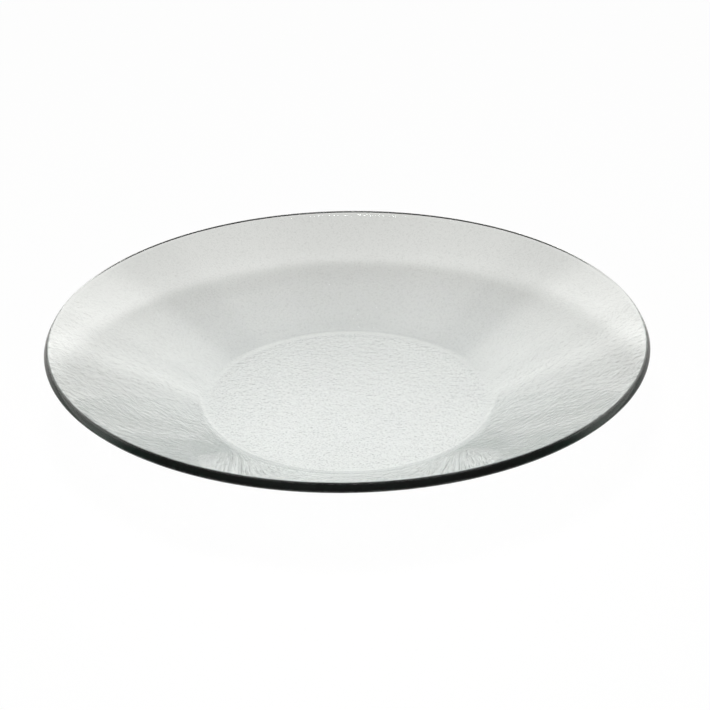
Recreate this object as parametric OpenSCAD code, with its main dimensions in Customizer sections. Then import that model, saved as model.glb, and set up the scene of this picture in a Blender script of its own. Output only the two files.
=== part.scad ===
// Shallow round glass dish, slumped in one piece from a flat disc of float glass.
// The sheet keeps one thickness from the floor to the edge: a flat floor, a bend,
// a straight flared wall, and a cut edge square to the sheet with polished corners.
// Millimetres, +Z up. The origin is the centre of the flat underside.

/* [Dish] */
// Diameter over everything, at the lower corner of the edge
rim_d = 350; // [300:5:400]
// Height from the table to the highest point of the edge
dish_h = 55; // [40:1:75]
// Diameter of the flat underside, where the bend begins
foot_d = 166; // [110:1:200]

/* [Glass] */
// Thickness of the glass sheet
glass_t = 5; // [4:0.5:8]
// Inside radius of the bend between the floor and the wall
bend_r = 12; // [6:1:30]
// Radius of the two polished corners along the edge
corner_r = 1.2; // [0.5:0.1:2]

/* [Hidden] */
$fn = 180;

// Bend radii of the upper and lower faces of the sheet, about one shared centre
bend_inner_r = bend_r;
bend_outer_r = bend_r + glass_t;
bend_x = foot_d / 2;
bend_z = bend_outer_r;

// Circles of the upper and lower corners, as distances from the bend's centre
// square to the wall
upper_corner_offset = bend_inner_r + corner_r;
lower_corner_offset = bend_outer_r - corner_r;

// The corners' circles touch the overall diameter and the overall height:
// reach_x = lower_corner_offset * sin(a) + straight * cos(a)
// reach_z = straight * sin(a) - upper_corner_offset * cos(a)
reach_x = rim_d / 2 - corner_r - bend_x;
reach_z = dish_h - corner_r - bend_z;
reach = norm([reach_x, reach_z]);

// The straight faces lie this much inside the bend's circles, so that each pair of
// outlines crosses at one clear point
SEAM_LIFT = 0.0002;

// Both hold at one wall angle, found by repeating a step that settles quickly
SETTLING_STEPS = 12;
function mean_offset(angle) =
    upper_corner_offset * pow(cos(angle), 2) + lower_corner_offset * pow(sin(angle), 2);
function settled_angle(angle, steps) =
    steps == 0 ? angle
    : settled_angle(atan2(reach_z, reach_x) + asin(mean_offset(angle) / reach), steps - 1);
wall_angle = settled_angle(30, SETTLING_STEPS);
straight = reach_x * cos(wall_angle) + reach_z * sin(wall_angle)
    - (lower_corner_offset - upper_corner_offset) * sin(wall_angle) * cos(wall_angle);

// Places what lies along the wall: X runs up the wall from the bend, and -Y faces down
module along_wall() {
    translate([bend_x, bend_z])
        rotate(wall_angle)
            translate([0, SEAM_LIFT])
                children();
}

// Half of the section of a solid dish: the floor, the bend's full circle, and the wall up to
// its cut edge, whose two corners are circles
module solid_outline() {
    square([bend_x, bend_z]);
    translate([bend_x, bend_z])
        circle(r = bend_outer_r);
    along_wall() {
        translate([0, -bend_outer_r])
            square([straight, bend_outer_r]);
        translate([0, -lower_corner_offset])
            square([straight + corner_r, lower_corner_offset - upper_corner_offset]);
        for (corner_offset = [upper_corner_offset, lower_corner_offset])
            translate([straight, -corner_offset])
                circle(r = corner_r);
    }
}

// Half of the section of the hollow, one glass thickness inside the floor, bend and wall
module hollow_outline() {
    open_reach = rim_d;
    translate([0, glass_t])
        square([bend_x, open_reach]);
    translate([bend_x, bend_z])
        circle(r = bend_inner_r);
    along_wall()
        translate([0, -bend_inner_r])
            square(open_reach);
}

module dish() {
    color([0.80, 0.88, 0.84, 0.55])
        rotate_extrude()
            difference() {
                solid_outline();
                hollow_outline();
            }
}

dish();
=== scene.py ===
# Looks, stage and camera for the shallow glass dish. Metres, +Z up, origin under the dish's centre.
import math

import bpy
from mathutils import Euler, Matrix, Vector, noise


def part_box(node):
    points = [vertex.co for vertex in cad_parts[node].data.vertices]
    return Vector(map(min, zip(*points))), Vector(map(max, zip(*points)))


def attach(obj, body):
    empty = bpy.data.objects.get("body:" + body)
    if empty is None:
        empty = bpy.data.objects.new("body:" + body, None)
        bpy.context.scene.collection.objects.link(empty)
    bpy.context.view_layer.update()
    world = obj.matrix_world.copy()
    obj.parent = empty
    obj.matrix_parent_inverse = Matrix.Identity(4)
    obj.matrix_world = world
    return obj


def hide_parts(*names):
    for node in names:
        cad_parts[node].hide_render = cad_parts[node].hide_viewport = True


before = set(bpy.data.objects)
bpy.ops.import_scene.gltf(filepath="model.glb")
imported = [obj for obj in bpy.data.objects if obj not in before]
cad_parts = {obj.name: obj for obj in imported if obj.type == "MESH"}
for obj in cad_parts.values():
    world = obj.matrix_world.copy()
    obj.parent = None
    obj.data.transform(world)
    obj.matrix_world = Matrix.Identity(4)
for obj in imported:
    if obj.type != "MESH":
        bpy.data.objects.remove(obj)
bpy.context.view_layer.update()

# Sizes of the dish. Its width and height come from the frame.
RIM_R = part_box("dish")[1].x
DISH_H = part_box("dish")[1].z
FOOT_R = 0.083
GLASS_T = 0.005
BEND_R = 0.012
CORNER_R = 0.0012

# Steps between neighbouring points of the glass mesh
UNDER_STEP = 0.00130
UPPER_STEP = 0.0027
EDGE_SPOKES = 480
CORNER_STEPS = 6
EDGE_STEPS = 2
BEND_STEPS = 8

# Relief of the underside, pressed up into the glass
PEBBLE_SIZE = 0.0023
PEBBLE_DEPTH = 0.0001
RIPPLE_SIZE = 0.020
RIPPLE_DEPTH = 0.00003


def material(name):
    """A new node material, its node tree and an empty output node."""
    made = bpy.data.materials.new(name)
    made.use_nodes = True
    tree = made.node_tree
    tree.nodes.clear()
    return made, tree, tree.nodes.new("ShaderNodeOutputMaterial")


def section():
    """The closed section from the axis along the underside, round the edge and back along the upper
    face. Each entry is (radius, height, outward normal, step kind), in order."""
    outer_r = BEND_R + GLASS_T
    upper_off = BEND_R + CORNER_R
    lower_off = outer_r - CORNER_R
    reach_x = RIM_R - CORNER_R - FOOT_R
    reach_z = DISH_H - CORNER_R - outer_r
    reach = math.hypot(reach_x, reach_z)
    angle = math.radians(30)
    for _ in range(12):
        mean_off = upper_off * math.cos(angle) ** 2 + lower_off * math.sin(angle) ** 2
        angle = math.atan2(reach_z, reach_x) + math.asin(mean_off / reach)
    up = Vector((math.cos(angle), math.sin(angle)))
    down = Vector((math.sin(angle), -math.cos(angle)))
    straight = reach_x * up.x + reach_z * up.y - (lower_off - upper_off) * up.x * up.y
    centre = Vector((FOOT_R, outer_r))
    path = []

    def line(start, end, normal, step, kind):
        count = max(1, round((end - start).length / step))
        for i in range(count):
            path.append((start.lerp(end, i / count), normal, kind))

    def arc(middle, radius, first, last, count, kind, sign=1):
        for i in range(count):
            a = first + (last - first) * i / count
            normal = Vector((math.cos(a), math.sin(a)))
            path.append((middle + radius * normal, sign * normal, kind))

    flat = Vector((0, -1))
    line(Vector((0, 0)), Vector((FOOT_R, 0)), flat, UNDER_STEP, "under")
    arc(centre, outer_r, -math.pi / 2, angle - math.pi / 2, BEND_STEPS, "under")
    wall_foot = centre + outer_r * down
    wall_top = wall_foot + straight * up
    line(wall_foot, wall_top, down, UNDER_STEP, "under")
    arc(centre + straight * up + lower_off * down, CORNER_R,
        angle - math.pi / 2, angle, CORNER_STEPS, "edge")
    edge_low = centre + (straight + CORNER_R) * up + lower_off * down
    edge_high = centre + (straight + CORNER_R) * up + upper_off * down
    line(edge_low, edge_high, up, (lower_off - upper_off) / EDGE_STEPS, "edge")
    arc(centre + straight * up + upper_off * down, CORNER_R,
        angle, angle + math.pi / 2, CORNER_STEPS, "edge")
    line(centre + BEND_R * down + straight * up, centre + BEND_R * down, -down, UPPER_STEP, "upper")
    arc(centre, BEND_R, angle - math.pi / 2, -math.pi / 2, BEND_STEPS, "upper", -1)
    line(Vector((FOOT_R, GLASS_T)), Vector((0, GLASS_T)), -flat, UPPER_STEP, "upper")
    path.append((Vector((0, GLASS_T)), -flat, "upper"))
    return path


def spokes(radius, kind):
    """How many points a ring of this radius has."""
    if radius < 1e-6:
        return 1
    if kind == "edge":
        return EDGE_SPOKES
    step = UNDER_STEP if kind == "under" else UPPER_STEP
    return max(6, round(2 * math.pi * radius / step))


def relief(point):
    """Depth of the underside's relief at a point, from 0 to about 0.1 mm."""
    fine = noise.noise(point / PEBBLE_SIZE)
    broad = noise.noise(point / RIPPLE_SIZE + Vector((7, 3, 1)))
    return max(0.0, PEBBLE_DEPTH * (1 + 1.2 * fine)) + max(0.0, RIPPLE_DEPTH * (1 + broad))


def zip_rings(low, high, faces):
    """Triangles between two rings of points, which may have different counts."""
    a, b = low[1], high[1]
    i = j = 0
    while i < a or j < b:
        turn_low = (i + 1) / a if i < a else 2
        turn_high = (j + 1) / b if j < b else 2
        p, q = low[0] + i % a, high[0] + j % b
        if a > 1 and (turn_low <= turn_high or b == 1):
            faces.append((p, low[0] + (i + 1) % a, q))
            i += 1
            if b == 1 and i == a:
                break
        else:
            faces.append((p, high[0] + (j + 1) % b, q))
            j += 1
            if a == 1 and j == b:
                break


def glass_mesh():
    """The dish as one closed mesh, with the underside's relief as real geometry."""
    points, faces, under, seat_shade_mask, rings = [], [], [], [], []
    for place, normal, kind in section():
        count = spokes(place.x, kind)
        rings.append((len(points), count))
        for k in range(count):
            a = 2 * math.pi * k / count
            spot = Vector((place.x * math.cos(a), place.x * math.sin(a), place.y))
            if kind == "under":
                outward = Vector((normal.x * math.cos(a), normal.x * math.sin(a), normal.y))
                spot = spot - outward * relief(spot)
            points.append(spot)
            under.append(1.0 if kind == "under" else 0.0)
            # Marks the flat underside that sits on the floor, where the painted shade in the glass's
            # tint is deepest
            seat_shade_mask.append(1.0 if place.y == 0 else 0.0)
    for low, high in zip(rings, rings[1:]):
        zip_rings(low, high, faces)
    mesh = bpy.data.meshes.new("glass_dish")
    print("TRIANGLES", len(faces))
    mesh.from_pydata(points, [], faces)
    mesh.update()
    for name, values in (("underside", under), ("seat_shade_mask", seat_shade_mask)):
        layer = mesh.attributes.new(name, "FLOAT", "POINT")
        layer.data.foreach_set("value", values)
    mesh.shade_smooth()
    return mesh


def glass_material():
    """Clear green-edged float glass, polished above and finely pebbled below, with painted shade
    speckled into the underside's tint.
    """
    made, tree, out = material("float_glass")
    new, link = tree.nodes.new, tree.links.new
    shader = new("ShaderNodeBsdfPrincipled")
    shader.inputs["Base Color"].default_value = (1, 1, 1, 1)
    shader.inputs["Transmission Weight"].default_value = 1
    shader.inputs["IOR"].default_value = 1.52
    coords = new("ShaderNodeTexCoord")
    underside = new("ShaderNodeAttribute")
    underside.attribute_name = "underside"

    grain = new("ShaderNodeTexNoise")
    grain.inputs["Scale"].default_value = 760
    grain.inputs["Detail"].default_value = 3
    link(coords.outputs["Object"], grain.inputs["Vector"])
    pebble = new("ShaderNodeMath")
    pebble.operation = "MULTIPLY"
    link(grain.outputs["Fac"], pebble.inputs[0])
    link(underside.outputs["Fac"], pebble.inputs[1])
    bump = new("ShaderNodeBump")
    bump.inputs["Strength"].default_value = 1
    bump.inputs["Distance"].default_value = 0.00015
    link(pebble.outputs[0], bump.inputs["Height"])
    link(bump.outputs["Normal"], shader.inputs["Normal"])

    # Painted shade: the tint is darkened in specks along the pebble grain, to 0.84 on the underside
    # and to 0.58 where the flat underside sits on the floor. This stands in for the pebbles' contact
    # shadows and the pattern of light and shade beneath them.
    seat_shade_mask = new("ShaderNodeAttribute")
    seat_shade_mask.attribute_name = "seat_shade_mask"
    deepest_painted_shade = new("ShaderNodeMapRange")
    deepest_painted_shade.inputs["To Min"].default_value = 0.84
    deepest_painted_shade.inputs["To Max"].default_value = 0.58
    link(seat_shade_mask.outputs["Fac"], deepest_painted_shade.inputs["Value"])
    shade = new("ShaderNodeMapRange")
    shade.inputs["From Min"].default_value = 0.50
    shade.inputs["From Max"].default_value = 0.70
    shade.inputs["To Min"].default_value = 1.0
    link(deepest_painted_shade.outputs["Result"], shade.inputs["To Max"])
    link(pebble.outputs[0], shade.inputs["Value"])
    link(shade.outputs["Result"], shader.inputs["Base Color"])

    rough = new("ShaderNodeMapRange")
    rough.inputs["To Min"].default_value = 0.0
    rough.inputs["To Max"].default_value = 0.05
    link(pebble.outputs[0], rough.inputs["Value"])
    link(rough.outputs["Result"], shader.inputs["Roughness"])

    tint = new("ShaderNodeVolumeAbsorption")
    tint.inputs["Color"].default_value = (0.34, 0.55, 0.49, 1)
    tint.inputs["Density"].default_value = 20
    link(shader.outputs["BSDF"], out.inputs["Surface"])
    link(tint.outputs["Volume"], out.inputs["Volume"])
    return made


def make_dish():
    dish = bpy.data.objects.new("glass_dish", glass_mesh())
    bpy.context.scene.collection.objects.link(dish)
    dish.data.materials.append(glass_material())
    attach(dish, "root")
    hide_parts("dish")
    return dish


# Stage
FLOOR_SIZE = 40
FLOOR_GAP = 0.0002
# Painted light: the floor is grey, with a paler pool of light painted round a spot under the front of
# the dish, fading out by 0.31 m. The camera sees the floor white, and the glass shows it through.
FLOOR_COLOUR = (0.49, 0.485, 0.475, 1)
PAINTED_LIGHT_COLOUR = (0.82, 0.815, 0.805, 1)
PAINTED_LIGHT_CENTRE = (0, -0.07, 0)
PAINTED_LIGHT_INNER = 0.03
PAINTED_LIGHT_OUTER = 0.31
WHITE_TO_CAMERA = 0.97
WHITE_TO_GLOSS = 0.1
WHITE_THROUGH_GLASS = 0.1


def white_share(tree, camera, gloss, through):
    """How much of the pure white background a ray sees, by the kind of ray."""
    new, link = tree.nodes.new, tree.links.new
    path = new("ShaderNodeLightPath")
    total = None
    for output, share in (("Is Camera Ray", camera), ("Is Glossy Ray", gloss),
                          ("Is Transmission Ray", through)):
        part = new("ShaderNodeMath")
        part.operation = "MULTIPLY"
        part.inputs[1].default_value = share
        link(path.outputs[output], part.inputs[0])
        if total is None:
            total = part
        else:
            added = new("ShaderNodeMath")
            added.operation = "ADD"
            added.use_clamp = True
            link(total.outputs[0], added.inputs[0])
            link(part.outputs[0], added.inputs[1])
            total = added
    return total.outputs[0]


def make_floor():
    mesh = bpy.data.meshes.new("floor")
    half = FLOOR_SIZE / 2
    corners = [(-half, -half), (half, -half), (half, half), (-half, half)]
    mesh.from_pydata([(x, y, -FLOOR_GAP) for x, y in corners], [], [(0, 1, 2, 3)])
    floor = bpy.data.objects.new("floor", mesh)
    bpy.context.scene.collection.objects.link(floor)
    made, tree, out = material("floor_white")
    new, link = tree.nodes.new, tree.links.new
    paint = new("ShaderNodeBsdfDiffuse")
    coords = new("ShaderNodeTexCoord")
    place = new("ShaderNodeVectorMath")
    place.operation = "DISTANCE"
    place.inputs[1].default_value = PAINTED_LIGHT_CENTRE
    link(coords.outputs["Object"], place.inputs[0])
    # Painted light: the floor is paler in a pool round the front of the dish
    painted_light = new("ShaderNodeMapRange")
    painted_light.interpolation_type = "SMOOTHSTEP"
    painted_light.inputs["From Min"].default_value = PAINTED_LIGHT_INNER
    painted_light.inputs["From Max"].default_value = PAINTED_LIGHT_OUTER
    link(place.outputs["Value"], painted_light.inputs["Value"])
    tone = new("ShaderNodeMix")
    tone.data_type = "RGBA"
    tone.inputs["A"].default_value = PAINTED_LIGHT_COLOUR
    tone.inputs["B"].default_value = FLOOR_COLOUR
    link(painted_light.outputs["Result"], tone.inputs["Factor"])
    link(tone.outputs["Result"], paint.inputs["Color"])
    white = new("ShaderNodeEmission")
    mix = new("ShaderNodeMixShader")
    link(white_share(tree, WHITE_TO_CAMERA, WHITE_TO_GLOSS, WHITE_THROUGH_GLASS), mix.inputs[0])
    link(paint.outputs[0], mix.inputs[1])
    link(white.outputs[0], mix.inputs[2])
    link(mix.outputs[0], out.inputs["Surface"])
    mesh.materials.append(made)


# Brightness of the studio by degrees above the horizon, behind the dish and on the camera's side
BACK_LEVELS = ((0, 1.2), (6, 1.0), (14, 1.0), (20, 2.0), (27, 1.5), (31, 1.9), (42, 1.55), (47.5, 0.3),
               (56, 0.3), (60, 0.75), (72, 0.75), (81, 0.35))
FRONT_LEVELS = ((0, 0.15), (54, 0.15), (58, 2.0), (67, 2.0), (71, 0.3), (90, 0.4))
BRIGHTEST = 2.0


def make_world():
    """A studio that is white up to the top of its backdrop and darker above it."""
    world = bpy.data.worlds.new("studio")
    bpy.context.scene.world = world
    world.use_nodes = True
    tree = world.node_tree
    tree.nodes.clear()
    new, link = tree.nodes.new, tree.links.new
    coords = new("ShaderNodeTexCoord")
    split = new("ShaderNodeSeparateXYZ")
    link(coords.outputs["Generated"], split.inputs[0])
    ramps = []
    for levels in (BACK_LEVELS, FRONT_LEVELS):
        ramp = new("ShaderNodeValToRGB")
        stops = ramp.color_ramp
        for i, (height, level) in enumerate(levels):
            stop = stops.elements[i] if i < 2 else stops.elements.new(1)
            stop.position = math.sin(math.radians(height))
            share = level / BRIGHTEST
            stop.color = (share, share, share, 1)
        link(split.outputs["Z"], ramp.inputs[0])
        ramps.append(ramp)
    side = new("ShaderNodeMapRange")
    side.interpolation_type = "SMOOTHSTEP"
    side.inputs["From Min"].default_value = -0.2
    side.inputs["From Max"].default_value = 0.1
    link(split.outputs["Y"], side.inputs["Value"])
    both = new("ShaderNodeMix")
    both.data_type = "RGBA"
    link(side.outputs["Result"], both.inputs["Factor"])
    link(ramps[1].outputs[0], both.inputs["A"])
    link(ramps[0].outputs[0], both.inputs["B"])
    warm = new("ShaderNodeMix")
    warm.data_type = "RGBA"
    warm.blend_type = "MULTIPLY"
    warm.inputs["Factor"].default_value = 1
    warm.inputs["B"].default_value = (1.0, 0.99, 0.965, 1)
    link(both.outputs["Result"], warm.inputs["A"])
    room = new("ShaderNodeBackground")
    room.inputs["Strength"].default_value = BRIGHTEST
    link(warm.outputs["Result"], room.inputs["Color"])
    white = new("ShaderNodeBackground")
    mix = new("ShaderNodeMixShader")
    link(white_share(tree, 1, 0, 0.5), mix.inputs[0])
    link(room.outputs[0], mix.inputs[1])
    link(white.outputs[0], mix.inputs[2])
    out = new("ShaderNodeOutputWorld")
    link(mix.outputs[0], out.inputs["Surface"])


def make_key():
    lamp = bpy.data.lights.new("key", "AREA")
    lamp.shape = "DISK"
    lamp.size = 0.22
    lamp.energy = 6
    key = bpy.data.objects.new("key", lamp)
    bpy.context.scene.collection.objects.link(key)
    key.visible_glossy = False
    key.location = (-0.03, -0.25, 0.79)
    key.rotation_mode = "QUATERNION"
    key.rotation_quaternion = (Vector((0, 0.05, 0)) - key.location).to_track_quat("-Z", "Y")


# Camera, from a fit to the outline, edge band and floor ellipse of the photograph
CAMERA_BACK = 0.70911
CAMERA_UP = 0.40765
CAMERA_YAW = 0.358
CAMERA_PITCH = 27.899
CAMERA_ROLL = 0.721
FOCAL_PIXELS = 1348.6
FRAME_PIXELS = 710


def make_camera():
    data = bpy.data.cameras.new("camera")
    data.sensor_width = 36
    data.lens = FOCAL_PIXELS / FRAME_PIXELS * data.sensor_width
    camera = bpy.data.objects.new("camera", data)
    bpy.context.scene.collection.objects.link(camera)
    camera.location = (0, -CAMERA_BACK, CAMERA_UP)
    aim = Euler((math.radians(90 - CAMERA_PITCH), 0, math.radians(-CAMERA_YAW))).to_matrix()
    camera.rotation_euler = (aim @ Euler((0, 0, math.radians(-CAMERA_ROLL))).to_matrix()).to_euler()
    bpy.context.scene.camera = camera


make_camera()
make_dish()
make_floor()
make_world()
make_key()
bpy.context.scene.view_settings.view_transform = "Standard"
# Light that has entered the edge is turned back many times inside the sheet
bpy.context.scene.cycles.max_bounces = 32
bpy.context.scene.cycles.glossy_bounces = 8
bpy.context.scene.cycles.transmission_bounces = 16
